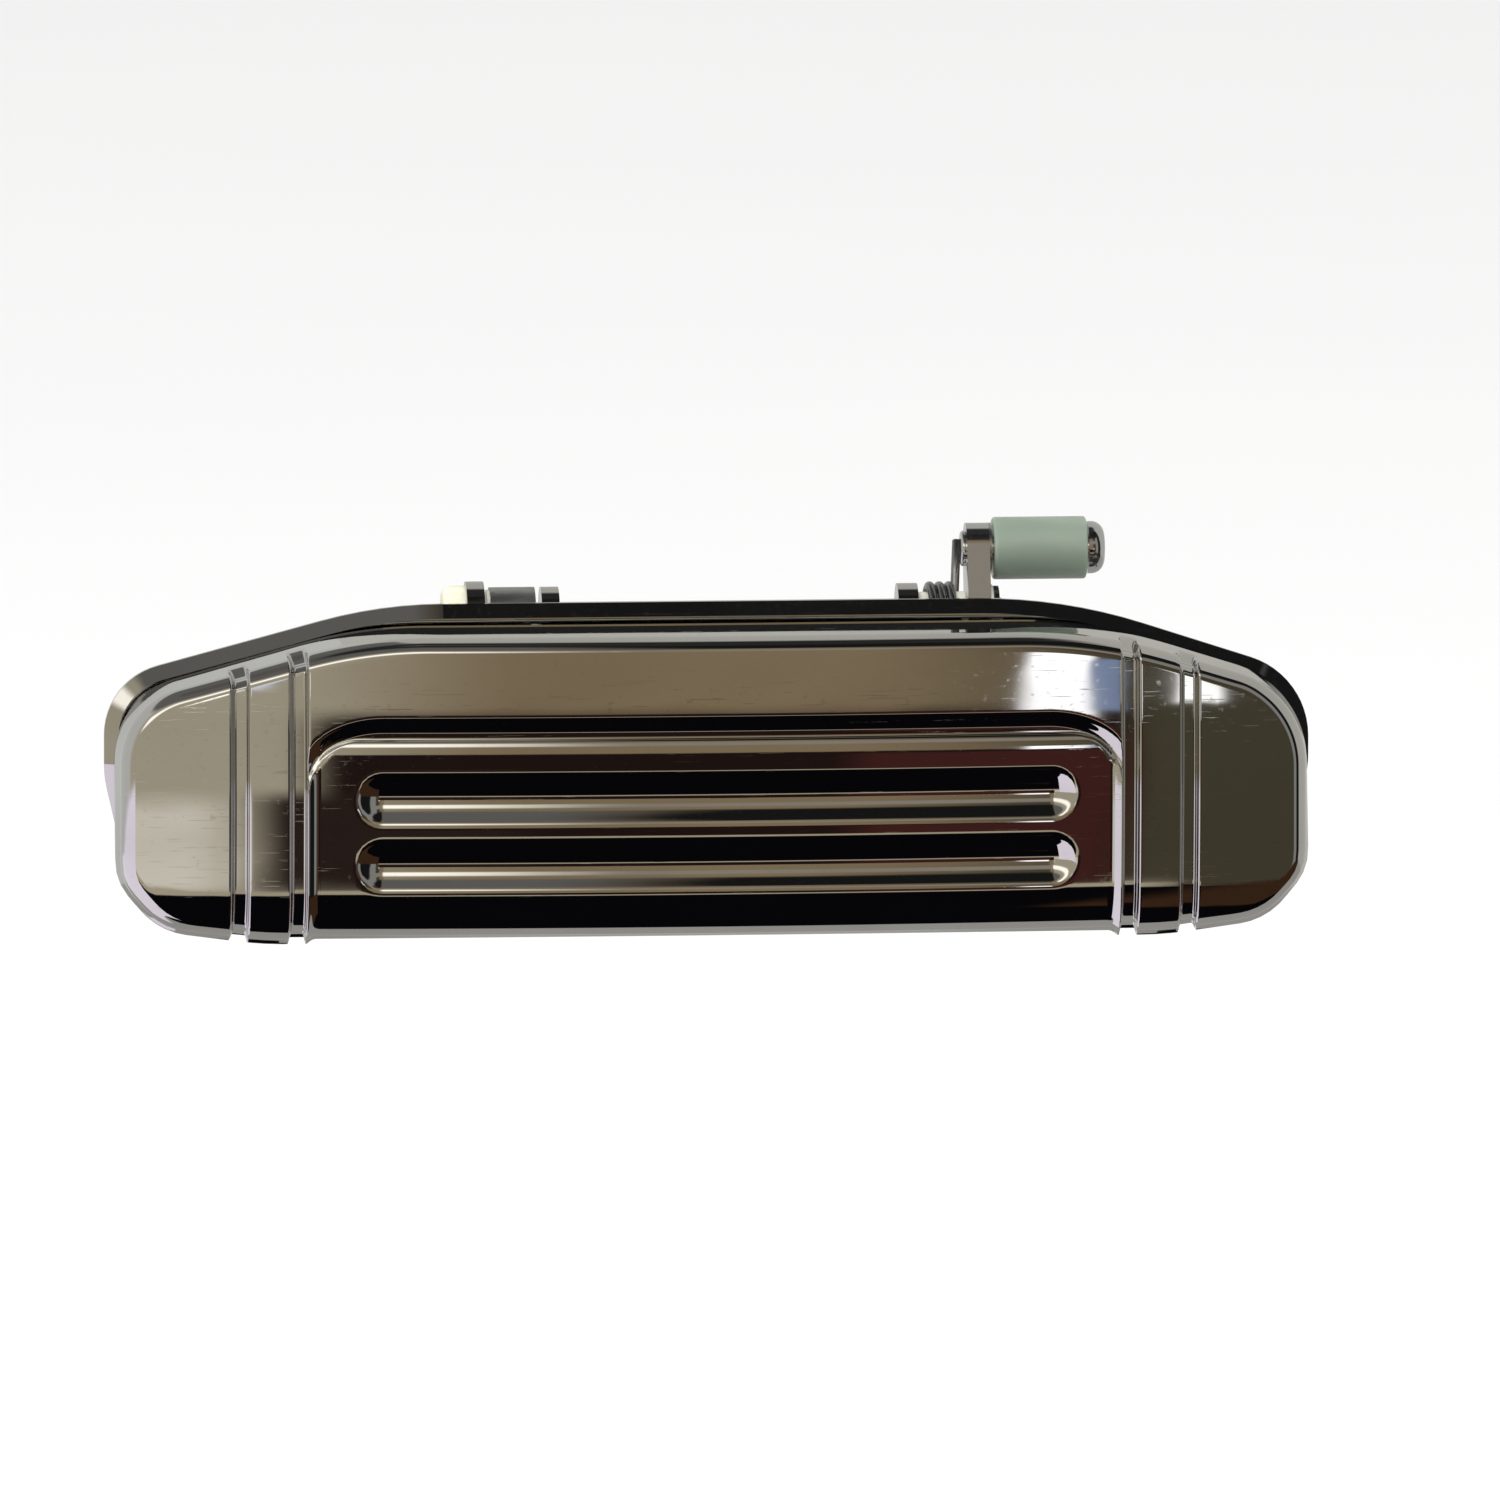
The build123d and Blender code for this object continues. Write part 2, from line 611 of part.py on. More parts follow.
with BuildPart() as release_lever:
    # upper arm: the hull of the hinge boss and the roller end
    with BuildSketch(side_plane(LEVER_X[0])):
        with Locations((HINGE_Y, HINGE_Z)):
            Circle(LEVER_BOSS_R)
        with Locations((ROLLER_Y, ROLLER_Z)):
            Circle(LEVER_END_R)
        make_hull()
    extrude(amount=LEVER_X[1] - LEVER_X[0])
    # lower arm and the foot that is riveted to the carrier
    with BuildSketch(side_plane(LEVER_X[0])):
        with BuildLine():
            arm_profile(*FOOT_Z)
        make_face()
    extrude(amount=LEVER_X[1] - LEVER_X[0])
    with BuildSketch(front_plane(CARRIER_BACK + FOOT_T)):
        with Locations(((LEVER_X[0] + FOOT_X) / 2, sum(FOOT_Z) / 2)):
            Rectangle(FOOT_X - LEVER_X[0], FOOT_Z[1] - FOOT_Z[0])
    extrude(amount=FOOT_T)
    add(rod_along_x(*LEVER_X, BUSH_R), mode=Mode.SUBTRACT)
    add(rod_along_x(*LEVER_X, ROLLER_SHANK_R, ROLLER_Y, ROLLER_Z), mode=Mode.SUBTRACT)
    with BuildSketch(front_plane(CARRIER_BACK + FOOT_T)):
        with Locations(*LEVER_RIVETS):
            Circle(RIVET_R)
    extrude(amount=FOOT_T, mode=Mode.SUBTRACT)
save(release_lever, "release_lever")

with BuildPart() as lever_rivets:
    with BuildSketch(front_plane(CARRIER_BACK + FOOT_T)):
        with Locations(*LEVER_RIVETS):
            Circle(RIVET_R)
    extrude(amount=FOOT_T + CARRIER_T)
    with BuildSketch(front_plane(CARRIER_BACK + FOOT_T + RIVET_HEAD_T)):
        with Locations(*LEVER_RIVETS):
            Circle(RIVET_HEAD_R)
    extrude(amount=RIVET_HEAD_T)
    fillet(lever_rivets.faces().sort_by(Axis.Y)[-len(LEVER_RIVETS):].edges(), RIVET_EDGE_R)
save(lever_rivets, "lever_rivets")

with BuildPart() as roller_rivet:
    add(rod_along_x(*LEVER_X, ROLLER_SHANK_R, ROLLER_Y, ROLLER_Z))
    add(rod_along_x(LEVER_X[0] - PEEN_T, LEVER_X[0], PEEN_R, ROLLER_Y, ROLLER_Z))
    fillet(roller_rivet.edges().filter_by(GeomType.CIRCLE).sort_by(Axis.X)[0], PEEN_EDGE_R)
    head_x = ROLLER_X[1] + ROLLER_GAP
    add(rod_along_x(LEVER_X[1], head_x, ROLLER_PIN_R, ROLLER_Y, ROLLER_Z))
    add(rod_along_x(head_x, head_x + DOME_T, DOME_R, ROLLER_Y, ROLLER_Z))
    fillet(roller_rivet.edges().filter_by(GeomType.CIRCLE).sort_by(Axis.X)[-1], DOME_EDGE_R)
save(roller_rivet, "roller_rivet")

with BuildPart() as roller_washer:
    add(tube(LEVER_X[1], LEVER_X[1] + WASHER_T, WASHER_R, ROLLER_PIN_R, ROLLER_Y, ROLLER_Z))
save(roller_washer, "roller_washer")

# ---------------------------------------------------------------- roller
with BuildPart() as release_roller:
    add(tube(*ROLLER_X, ROLLER_R, ROLLER_PIN_R + PIN_RUN, ROLLER_Y, ROLLER_Z))
    circles = release_roller.edges().filter_by(GeomType.CIRCLE)
    fillet([e for e in circles if e.radius > 2 * ROLLER_PIN_R], ROLLER_EDGE_R)
save(release_roller, "release_roller")
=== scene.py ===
import json
from math import acos, asin, atan2, cos, pi, radians, sin, tan

import bpy
import numpy as np
from mathutils import Matrix, Vector


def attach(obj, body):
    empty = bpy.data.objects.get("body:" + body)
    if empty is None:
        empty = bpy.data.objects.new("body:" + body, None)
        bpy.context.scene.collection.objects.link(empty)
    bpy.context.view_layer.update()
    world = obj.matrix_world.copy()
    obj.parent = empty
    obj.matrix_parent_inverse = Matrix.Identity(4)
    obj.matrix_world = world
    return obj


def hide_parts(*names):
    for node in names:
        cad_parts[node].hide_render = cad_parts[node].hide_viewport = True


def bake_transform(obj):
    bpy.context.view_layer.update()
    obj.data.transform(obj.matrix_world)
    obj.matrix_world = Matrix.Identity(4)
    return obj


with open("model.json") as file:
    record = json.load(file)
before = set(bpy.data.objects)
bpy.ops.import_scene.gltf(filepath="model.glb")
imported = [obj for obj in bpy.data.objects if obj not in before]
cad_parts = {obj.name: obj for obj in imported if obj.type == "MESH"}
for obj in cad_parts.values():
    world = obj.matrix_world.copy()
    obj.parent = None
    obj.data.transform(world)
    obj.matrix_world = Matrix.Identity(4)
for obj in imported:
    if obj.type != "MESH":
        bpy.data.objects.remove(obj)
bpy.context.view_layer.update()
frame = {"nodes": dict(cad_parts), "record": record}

MM = 0.001

# ---------------------------------------------------------------- paddle dimensions
FRONT_Y = -24.0
BOW_R = 800.0  # the front's bow along X
SECTION_R = 250.0  # and its curve from top to bottom, which is foremost at the crown
SECTION_CROWN_Z = 5.0
CURL_Z = -16.6  # below this the front curls back
CURL_R = 13.0
RIM_Y = -8.0
RIM_Z = 26.6
RIM_BOW_R = 2000.0
RIM_TILT = 7.4
OUTLINE = (
    (64, 26.6), (100, 15.2), (100.2, -15.5), (93, -23.8), (76, -26),
    (-76, -26), (-93, -23.8), (-100.2, -15.5), (-100.2, 15.3), (-59, 26.6),
)
OUTLINE_RADII = (90, 17, 9, 12, 60, 60, 12, 9, 14, 80)
DRAFT = 0.7  # the outer wall leans in by this much from the rim to the front
EDGE_W = 2.5  # how far the rounded edge reaches in from there
EDGE_DEPTH = (3.6, 1.7)  # how far it drops back, at the top and ends and along the bottom
EDGE_CHANGE_Z = (-6.0, 12.0)  # the change starts here, and takes this much
EDGE_CHANGE_X = (99.0, 14.0)
WALL = 2.4
RIM_R = 0.35  # rounding of the rim's two corners
RIM_MID = 0.1  # and how far that stays from the sharp corner, half way round
FLOOR_SHIFT = 5.7  # from the plain front to the shell's inside floor
LOBE_FLOOR_SHIFT = 3.4  # the same at the ends, outside LOBE_X
LOBE_X = 76.0
LOBE_STEP_W = 2.0
FLOOR_FILLET = 1.2
FLOOR_TO_RIM = 0.6  # least height of the inner wall

CHANNELS = ((-79.8, 1.3), (-70.0, 1.7), (69.4, 1.7), (79.4, 1.3))  # x and depth
CHANNEL_HALF_W = 1.65
CHANNEL_WALL = 0.75
CHANNEL_FADE = 0.5  # share of the top wall on which a channel dies away
MOAT_TOP_Z = 13.2
MOAT_DEPTH = 1.6
MOAT_WALL = 3.4
MOAT_CORNER = (14.0, 9.0)
PANEL_TOP_Z = 9.3
PANEL_DEPTH = 0.85
PANEL_EDGE = 3.4  # how far down from its top the panel goes on rising
PANEL_SIDE = 1.3  # and how far in from its outline
PANEL_WALL = 0.7
PANEL_CORNER = 9.0
SLOT_Z = (-1.1, -12.4)
SLOT_LENGTH = 120.0
SLOT_H = 7.8
SLOT_DEPTH = 1.9
SLOT_EDGE = 0.9
SLOT_FADE = 1.4

SCREW_BOSS = {"radius": 3.4, "y_front": -19.2, "y_back": -15.4}
SCREW_BOSS_X = (-40.0, 40.0)
SCREW_BOSS_Z = (-6.8, 18.0)
REST_PAD = {"radius": 3.2, "y_front": -16.4, "y_back": -11.0}
REST_PAD_X = (-90.0, 90.0)
REST_PAD_Z = -8.0

# How close the shell's mesh is. Its spokes leave a spine that lies across the middle of the front.
SPINE_Z = 4.8
SPINE_X = 84.0
FAN = 60  # spokes round each end
COLUMN_STEP = 2.2
CLOSE_COLUMNS = ((53.0, 68.5, 34), (55.4, 61.0, 19))  # from, to, count: moat corners and slot ends
CHANNEL_COLUMNS = (2.1, 25)
LEAST_STEP = 0.14
ROWS = 76
ROWS_UP = ((SPINE_Z, 1.2), (7.0, 4), (13.5, 4), (14.5, 1.2), (23.0, 1.0))  # z, and how close they are there
ROWS_DOWN = (
    (SPINE_Z, 1), (3.4, 3), (-5.6, 3), (-7.0, 1.8), (-8.0, 3), (-17.6, 3), (-19.0, 1.6), (-22.4, 1.6),
)
EDGE_ROWS = 12
OUTER_WALL_ROWS = (0.06, 0.14, 0.22, 0.3, 0.38, 0.46, 0.6, 0.8)  # shares of the way to the rim
INNER_WALL_ROWS = (0.05, 0.4, 0.75)
FILLET_ROWS = (0, 25, 50, 75, 90)  # degrees
FLOOR_ROWS = 15


# ---------------------------------------------------------------- outline helpers
def rounded_polygon(corners, radii, step=0.3):
    """Points round a polygon whose corners are rounded off by arcs."""
    points = []
    for i, (corner, radius) in enumerate(zip(corners, radii)):
        corner = np.array(corner, float)
        to_last = np.array(corners[i - 1]) - corner
        to_next = np.array(corners[(i + 1) % len(corners)]) - corner
        to_last /= np.linalg.norm(to_last)
        to_next /= np.linalg.norm(to_next)
        half = acos(float(to_last @ to_next)) / 2
        bisector = (to_last + to_next) / np.linalg.norm(to_last + to_next)
        centre = corner + bisector * radius / sin(half)
        start = corner + to_last * radius / tan(half) - centre
        end = corner + to_next * radius / tan(half) - centre
        start_angle = atan2(start[1], start[0])
        turn = (atan2(end[1], end[0]) - start_angle + pi) % (2 * pi) - pi
        count = max(2, int(abs(turn) * radius / step))
        for k in range(count + 1):
            angle = start_angle + turn * k / count
            points.append(centre + radius * np.array((cos(angle), sin(angle))))
    ring = []
    for a, b in zip(points, points[1:] + points[:1]):
        pieces = max(1, int(np.linalg.norm(b - a) / step))
        ring.extend(a + (b - a) * k / pieces for k in range(pieces))
    return np.array(ring)


def inset_outline(inset):
    """The paddle's outline moved in by inset: its sides move in, and its corner radii shrink."""
    n = len(OUTLINE)
    moved = []
    for i in range(n):
        lines = []
        for a, b in ((OUTLINE[i - 1], OUTLINE[i]), (OUTLINE[i], OUTLINE[(i + 1) % n])):
            direction = np.array(b, float) - np.array(a, float)
            direction /= np.linalg.norm(direction)
            inward = np.array((direction[1], -direction[0]))
            lines.append((np.array(a) + inward * inset, direction))
        (p, u), (q, w) = lines
        t = np.linalg.solve(np.column_stack((u, -w)), q - p)[0]
        moved.append(p + u * t)
    return rounded_polygon(moved, [r - inset for r in OUTLINE_RADII])


def smooth(t):
    """0 below 0, 1 above 1, and an even S between."""
    t = np.clip(t, 0, 1)
    return t * t * t * (t * (6 * t - 15) + 10)


def dome(distance, width):
    """0 at an edge and 1 from this width inside it, steep at first and level at the end."""
    return 1 - (1 - np.clip(distance / width, 0, 1)) ** 3


# ---------------------------------------------------------------- paddle surface
def front_y(x, z):
    """Y of the paddle's plain front surface, before anything is pressed into it."""
    below = np.maximum(CURL_Z - z, 0)
    upper = np.maximum(z, CURL_Z)
    slope = (SECTION_CROWN_Z - CURL_Z) / SECTION_R
    section = (upper - SECTION_CROWN_Z) ** 2 / (2 * SECTION_R) + slope * below + below**2 / (2 * CURL_R)
    return FRONT_Y + x**2 / (2 * BOW_R) + section


def front_normal(x, z):
    """Outward normal of the plain front surface."""
    step = 0.01
    dx = (front_y(x + step, z) - front_y(x - step, z)) / (2 * step)
    dz = (front_y(x, z + step) - front_y(x, z - step)) / (2 * step)
    normal = np.stack((dx, -np.ones_like(dx), dz), axis=-1)
    return normal / np.linalg.norm(normal, axis=-1, keepdims=True)


def arch_distance(x, z, left, right, top, corner_w, corner_h):
    """How far a point is inside an arch that is open at the bottom, about in millimetres."""
    across = np.abs(x - (left + right) / 2) - ((right - left) / 2 - corner_w)
    up = z - (top - corner_h)
    in_corner = np.hypot(np.maximum(across, 0) / corner_w, np.maximum(up, 0) / corner_h)
    slope = np.hypot(np.maximum(across, 0) / corner_w**2, np.maximum(up, 0) / corner_h**2)
    reach = (1 - in_corner) * in_corner / np.maximum(slope, 1e-6)
    return np.where((across > 0) & (up > 0), reach, np.minimum(corner_w - across, corner_h - up))


def channel_depth(x):
    """Depth of the upright channels, which run on over the top edge."""
    depth = np.zeros_like(x)
    for centre, deep in CHANNELS:
        inside = CHANNEL_HALF_W - np.abs(x - centre)
        depth = np.maximum(depth, deep * smooth(inside / CHANNEL_WALL))
    return depth


def slot_depth(x, z, slot_z):
    """Depth of one long slot below the panel: a trough with round ends and soft edges."""
    half_h = SLOT_H / 2
    along = np.maximum(np.abs(x) - (SLOT_LENGTH - SLOT_H) / 2, 0)
    off_axis = np.hypot(along, z - slot_z)
    trough = 1 - (off_axis / half_h) ** 2
    soft = SLOT_EDGE / half_h
    fade = smooth((half_h + SLOT_FADE - off_axis) / SLOT_FADE)
    return SLOT_DEPTH * (trough + np.hypot(trough, soft)) / 2 * fade


def pressed_depth(x, z):
    """Depth of the channels, the moat, the panel and its slots below the plain front."""
    inner_left, inner_right = CHANNELS[1][0], CHANNELS[2][0]
    in_moat = arch_distance(x, z, inner_left, inner_right, MOAT_TOP_Z, *MOAT_CORNER)
    depth = np.maximum(channel_depth(x), MOAT_DEPTH * smooth(in_moat / MOAT_WALL))
    left = inner_left + CHANNEL_HALF_W - CHANNEL_WALL
    right = inner_right - CHANNEL_HALF_W + CHANNEL_WALL
    in_panel = arch_distance(x, z, left, right, PANEL_TOP_Z, PANEL_CORNER, PANEL_CORNER)
    risen = np.minimum(dome(in_panel, PANEL_SIDE), dome(PANEL_TOP_Z - z, PANEL_EDGE))
    depth = depth - (MOAT_DEPTH - PANEL_DEPTH) * risen * smooth(in_panel / PANEL_WALL)
    for slot_z in SLOT_Z:
        depth = depth + slot_depth(x, z, slot_z)
    return depth


def edge_depth(x, z):
    """What is pressed into the outer edge: all of it along the bottom, and only channels along the top."""
    return np.where(z < 0, pressed_depth(x, z), channel_depth(x))


def rim_y(x, z):
    """Back edge of the shell: it bows less than the front, and leans in towards the bottom."""
    return RIM_Y + x**2 / (2 * RIM_BOW_R) + (z - RIM_Z) * tan(radians(RIM_TILT))


def floor_y(x, z):
    """Floor inside the shell: it follows the front, and never reaches the rim."""
    lobe = smooth((np.abs(x) - LOBE_X) / LOBE_STEP_W + 0.5)
    shift = FLOOR_SHIFT + (LOBE_FLOOR_SHIFT - FLOOR_SHIFT) * lobe
    return np.minimum(front_y(x, z) + shift, rim_y(x, z) - FLOOR_TO_RIM)


# ---------------------------------------------------------------- paddle mesh
def column_places():
    """X of the mesh's columns: wide apart on plain stretches, close at channels, corners and slot ends."""
    places = [np.arange(-SPINE_X, SPINE_X + 0.01, COLUMN_STEP)]
    for end in (-1, 1):
        places.extend(end * np.linspace(*stretch) for stretch in CLOSE_COLUMNS)
    half_span, count = CHANNEL_COLUMNS
    for centre, _deep in CHANNELS:
        places.append(centre + np.linspace(-half_span, half_span, count))
    places = np.unique(np.round(np.concatenate(places), 3))
    keep = [places[0]]
    for x in places[1:]:
        if x - keep[-1] > LEAST_STEP:
            keep.append(x)
    keep[-1] = SPINE_X
    return np.array(keep)


def row_shares(stops):
    """Shares 0 to 1 of the way through stops (place, weight), closer together where weight is higher."""
    places = np.array([p for p, _w in stops], float)
    weights = np.array([w for _p, w in stops], float)
    fine = np.linspace(places[0], places[-1], 4001)
    density = np.interp(np.abs(fine - places[0]), np.abs(places - places[0]), weights)
    total = np.concatenate(((0,), np.cumsum((density[1:] + density[:-1]) / 2)))
    z = np.interp(np.linspace(0, total[-1], ROWS), total, fine)
    return (z - places[0]) / (places[-1] - places[0])


def spokes(ring):
    """Where the mesh's spokes leave the spine and meet the ring, and the ring's outward normals there.

    They go along the top from left to right, round the right end, back along the bottom and round the left.
    """
    closed = np.vstack((ring, ring[:1]))
    columns = column_places()

    def crossing(origin, direction):
        """Where a line from origin first meets the ring."""
        side = np.array((-direction[1], direction[0]))
        off = (closed - origin) @ side
        ahead = (closed - origin) @ direction
        for k in np.nonzero((off[:-1] * off[1:]) <= 0)[0]:
            if off[k] == off[k + 1]:
                continue
            share = off[k] / (off[k] - off[k + 1])
            reach = ahead[k] + share * (ahead[k + 1] - ahead[k])
            if reach > 0:
                return origin + direction * reach
        raise ValueError("a spoke misses the outline")

    fan = np.linspace(90, -90, FAN + 2)[1:-1]
    spoke_list = [(np.array((x, SPINE_Z)), 90.0) for x in columns]
    spoke_list += [(np.array((SPINE_X, SPINE_Z)), angle) for angle in fan]
    spoke_list += [(np.array((x, SPINE_Z)), -90.0) for x in columns[::-1]]
    spoke_list += [(np.array((-SPINE_X, SPINE_Z)), 180 - angle) for angle in fan[::-1]]
    starts, ends = [], []
    for origin, angle in spoke_list:
        direction = np.array((cos(radians(angle)), sin(radians(angle))))
        starts.append(origin)
        ends.append(crossing(origin, direction))
    along = closed[1:] - closed[:-1]
    lengths = np.linalg.norm(along, axis=1)
    along = along[lengths > 1e-6] / lengths[lengths > 1e-6, None]
    middles = ((closed[1:] + closed[:-1]) / 2)[lengths > 1e-6]
    normals = []
    for end in ends:
        near = np.argsort(((middles - end) ** 2).sum(axis=1))[:2]
        direction = along[near].mean(axis=0)
        direction /= np.linalg.norm(direction)
        normals.append((-direction[1], direction[0]))
    return np.array(starts), np.array(ends), np.array(normals), len(columns)


def points_at(flat, y):
    """Points from their x and z and a y of their own."""
    return np.stack((flat[:, 0], y, flat[:, 1]), axis=-1)


def front_layers(starts, ends, low):
    """The front face, from the spine to where the edge rounds off. Low is 1 for spokes that go down."""
    layers = []
    for up_share, down_share in zip(row_shares(ROWS_UP), row_shares(ROWS_DOWN)):
        share = (up_share * (1 - low) + down_share * low)[:, None]
        flat = starts * (1 - share) + ends * share
        x, z = flat.T
        layers.append(points_at(flat, front_y(x, z)) - front_normal(x, z) * pressed_depth(x, z)[:, None])
    return layers


def edge_layers(ends, outward):
    """The rounded edge and the outer wall, then where the wall starts and its depths along the bottom."""
    (from_z, height), (from_x, width) = EDGE_CHANGE_Z, EDGE_CHANGE_X
    low = smooth((from_z - ends[:, 1]) / height) * smooth((from_x - np.abs(ends[:, 0])) / width)
    drop = EDGE_DEPTH[0] + (EDGE_DEPTH[1] - EDGE_DEPTH[0]) * low
    wall = points_at(outward, np.zeros(len(ends)))
    layers = []
    for turn in np.radians(np.linspace(0, 90, EDGE_ROWS + 1)[1:]):
        flat = ends + outward * EDGE_W * sin(turn)
        x, z = flat.T
        y = front_y(x, z) + drop * (1 - cos(turn))
        normal = wall * sin(turn) / EDGE_W + front_normal(x, z) * (cos(turn) / drop)[:, None]
        normal /= np.linalg.norm(normal, axis=1, keepdims=True)
        pressed = edge_depth(x, z)
        layers.append(points_at(flat, y) - normal * pressed[:, None])
    to_rim = rim_y(x, z) - RIM_R - y
    for share in OUTER_WALL_ROWS:
        kept = np.where(z < 0, 1.0, smooth((CHANNEL_FADE - share) / CHANNEL_FADE))
        outwards = DRAFT * share - pressed * kept
        layers.append(points_at(flat, y + to_rim * share) + wall * outwards[:, None])
    return layers, flat, np.where(z < 0, pressed, 0.0)


def inside_layers(starts, outline, outward, settled):
    """The rim with its two rounded corners, the inner wall, the fillet at its foot and the floor."""

    def inset(distance):
        return outline - outward * (np.ones(len(outline)) * distance)[:, None]

    layers = []
    rim = ((0.0, RIM_R), (RIM_MID, RIM_MID), (RIM_R, 0.0), (WALL - RIM_R, 0.0), (WALL - RIM_MID, RIM_MID))
    for distance, lift in rim:
        flat = inset(distance + settled * (1 - distance / WALL))
        layers.append(points_at(flat, rim_y(*flat.T) - lift))
    flat = inset(WALL)
    back, floor = rim_y(*flat.T), floor_y(*flat.T)
    fillet = np.minimum(FLOOR_FILLET, (back - floor) / 2)
    for share in INNER_WALL_ROWS:
        layers.append(points_at(flat, back + (floor + fillet - back) * share))
    for turn in np.radians(FILLET_ROWS):
        foot = inset(WALL + fillet * (1 - cos(turn)))
        layers.append(points_at(foot, floor + fillet * (1 - sin(turn))))
    for share in np.linspace(0, 1, FLOOR_ROWS + 1)[1:]:
        flat = foot * (1 - share) + starts * share
        layers.append(points_at(flat, floor_y(*flat.T)))
    return layers


def tube_faces(levels, sides):
    """Faces of a tube of rings with as many vertices as it has sides, and of its two ends."""
    faces = []
    for level in range(levels - 1):
        for k in range(sides):
            a, b = level * sides + k, level * sides + (k + 1) % sides
            faces.append((a, b, b + sides, a + sides))
    faces.append(tuple(range(sides))[::-1])
    faces.append(tuple(range((levels - 1) * sides, levels * sides)))
    return faces


def disc_boss(x, z, radius, y_front, y_back, sides=40):
    """Vertices and faces of a short round boss along Y, with a small rounded edge at its back end."""
    rings = [(radius, y_front)]
    rings += [(radius - inwards, y_back - short) for inwards, short in ((0, 0.3), (0.1, 0.08), (0.3, 0))]
    vertices = []
    for r, y in rings:
        for k in range(sides):
            angle = 2 * pi * k / sides
            vertices.append((x + r * cos(angle), y, z + r * sin(angle)))
    return vertices, [face[::-1] for face in tube_faces(len(rings), sides)]


def mesh_object(name, vertices, faces, material, body):
    """A smooth-shaded piece made from vertices in millimetres, that rides on a body if one is named."""
    mesh = bpy.data.meshes.new(name)
    mesh.from_pydata([tuple(v) for v in np.asarray(vertices) * MM], [], faces)
    mesh.materials.append(material)
    mesh.validate()
    mesh.polygons.foreach_set("use_smooth", [True] * len(mesh.polygons))
    piece = bpy.data.objects.new(name, mesh)
    bpy.context.scene.collection.objects.link(piece)
    if body:
        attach(piece, body)
    return piece


def build_paddle(material):
    """The chromed shell, with its bosses and rest pads, in place of the plain CAD shell."""
    starts, ends, outward, n_columns = spokes(inset_outline(DRAFT + EDGE_W))
    low = np.concatenate((
        np.zeros(n_columns), np.linspace(0, 1, FAN + 2)[1:-1],
        np.ones(n_columns), np.linspace(1, 0, FAN + 2)[1:-1],
    ))
    layers = front_layers(starts, ends, low)
    edge, wall_start, settled = edge_layers(ends, outward)
    layers += edge
    layers += inside_layers(starts, wall_start + outward * DRAFT, outward, settled)

    # the first and the last layer are the spine, where two spokes or a whole fan share each vertex
    n = len(starts)
    spine_of = list(range(n_columns)) + [n_columns - 1] * FAN
    spine_of += list(range(n_columns))[::-1] + [0] * FAN
    vertices = list(layers[0][:n_columns])
    index = [spine_of]
    for layer in layers[1:-1]:
        index.append(list(range(len(vertices), len(vertices) + n)))
        vertices.extend(layer)
    index.append([len(vertices) + k for k in spine_of])
    vertices.extend(layers[-1][:n_columns])
    faces = []
    for inner, outer in zip(index[:-1], index[1:]):
        for k in range(n):
            j = (k + 1) % n
            corners = []
            for corner in (inner[k], outer[k], outer[j], inner[j]):
                if corner not in corners:
                    corners.append(corner)
            faces.append(tuple(corners))

    bosses = [disc_boss(x, z, **SCREW_BOSS) for x in SCREW_BOSS_X for z in SCREW_BOSS_Z]
    bosses += [disc_boss(x, REST_PAD_Z, **REST_PAD) for x in REST_PAD_X]
    for extra, extra_faces in bosses:
        faces.extend(tuple(i + len(vertices) for i in face) for face in extra_faces)
        vertices.extend(extra)
    piece = mesh_object("paddle_shell_chromed", vertices, faces, material, "paddle")
    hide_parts("paddle_shell")
    return piece


# ---------------------------------------------------------------- threaded studs
def build_studs(material):
    """Two M6 studs with real threads, in place of the plain CAD studs."""
    stud_x, end_y, end_chamfer = (-84.0, 84.0), 18.0, 0.5
    pitch, major, minor = 1.0, 3.0, 2.46
    thread_from, first_ring, thread_to = 0.1, 0.15, end_y - 0.8  # it rises and dies away over one pitch
    foot_r, foot_y, front_round, back_round = 4.0, -8.5, 0.3, 0.35
    around, per_pitch = 48, 12
    stations = [  # y, radius, and whether the thread is on it
        (foot_y, foot_r - front_round, False), (foot_y + front_round, foot_r, False),
        (-back_round, foot_r, False), (0.0, foot_r - back_round, False), (0.0, minor, False),
    ]
    stations += [(y, minor, True) for y in np.arange(first_ring, thread_to, pitch / per_pitch)]
    stations += [(end_y - end_chamfer, minor, False), (end_y, minor - end_chamfer, False)]
    vertices, faces = [], []
    for x in stud_x:
        start = len(vertices)
        for y, r, threaded in stations:
            for k in range(around):
                angle = 2 * pi * k / around
                radius = r
                if threaded:
                    phase = (y / pitch - k / around) % 1.0
                    crest = np.clip((1 - abs(2 * phase - 1)) * 1.25 - 0.1, 0, 1)
                    fade = min(1.0, (y - thread_from) / pitch, (thread_to - y) / pitch)
                    radius = r + (major - r) * crest * max(fade, 0)
                vertices.append((x + radius * cos(angle), y, radius * sin(angle)))
        for level in range(len(stations) - 1):
            for k in range(around):
                a = start + level * around + k
                b = start + level * around + (k + 1) % around
                faces.append((a, a + around, b + around, b))
        faces.append(tuple(start + k for k in range(around)))
        last = start + (len(stations) - 1) * around
        faces.append(tuple(last + k for k in range(around))[::-1])
    piece = mesh_object("mounting_studs_threaded", vertices, faces, material, "base")
    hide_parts("mounting_studs")
    return piece


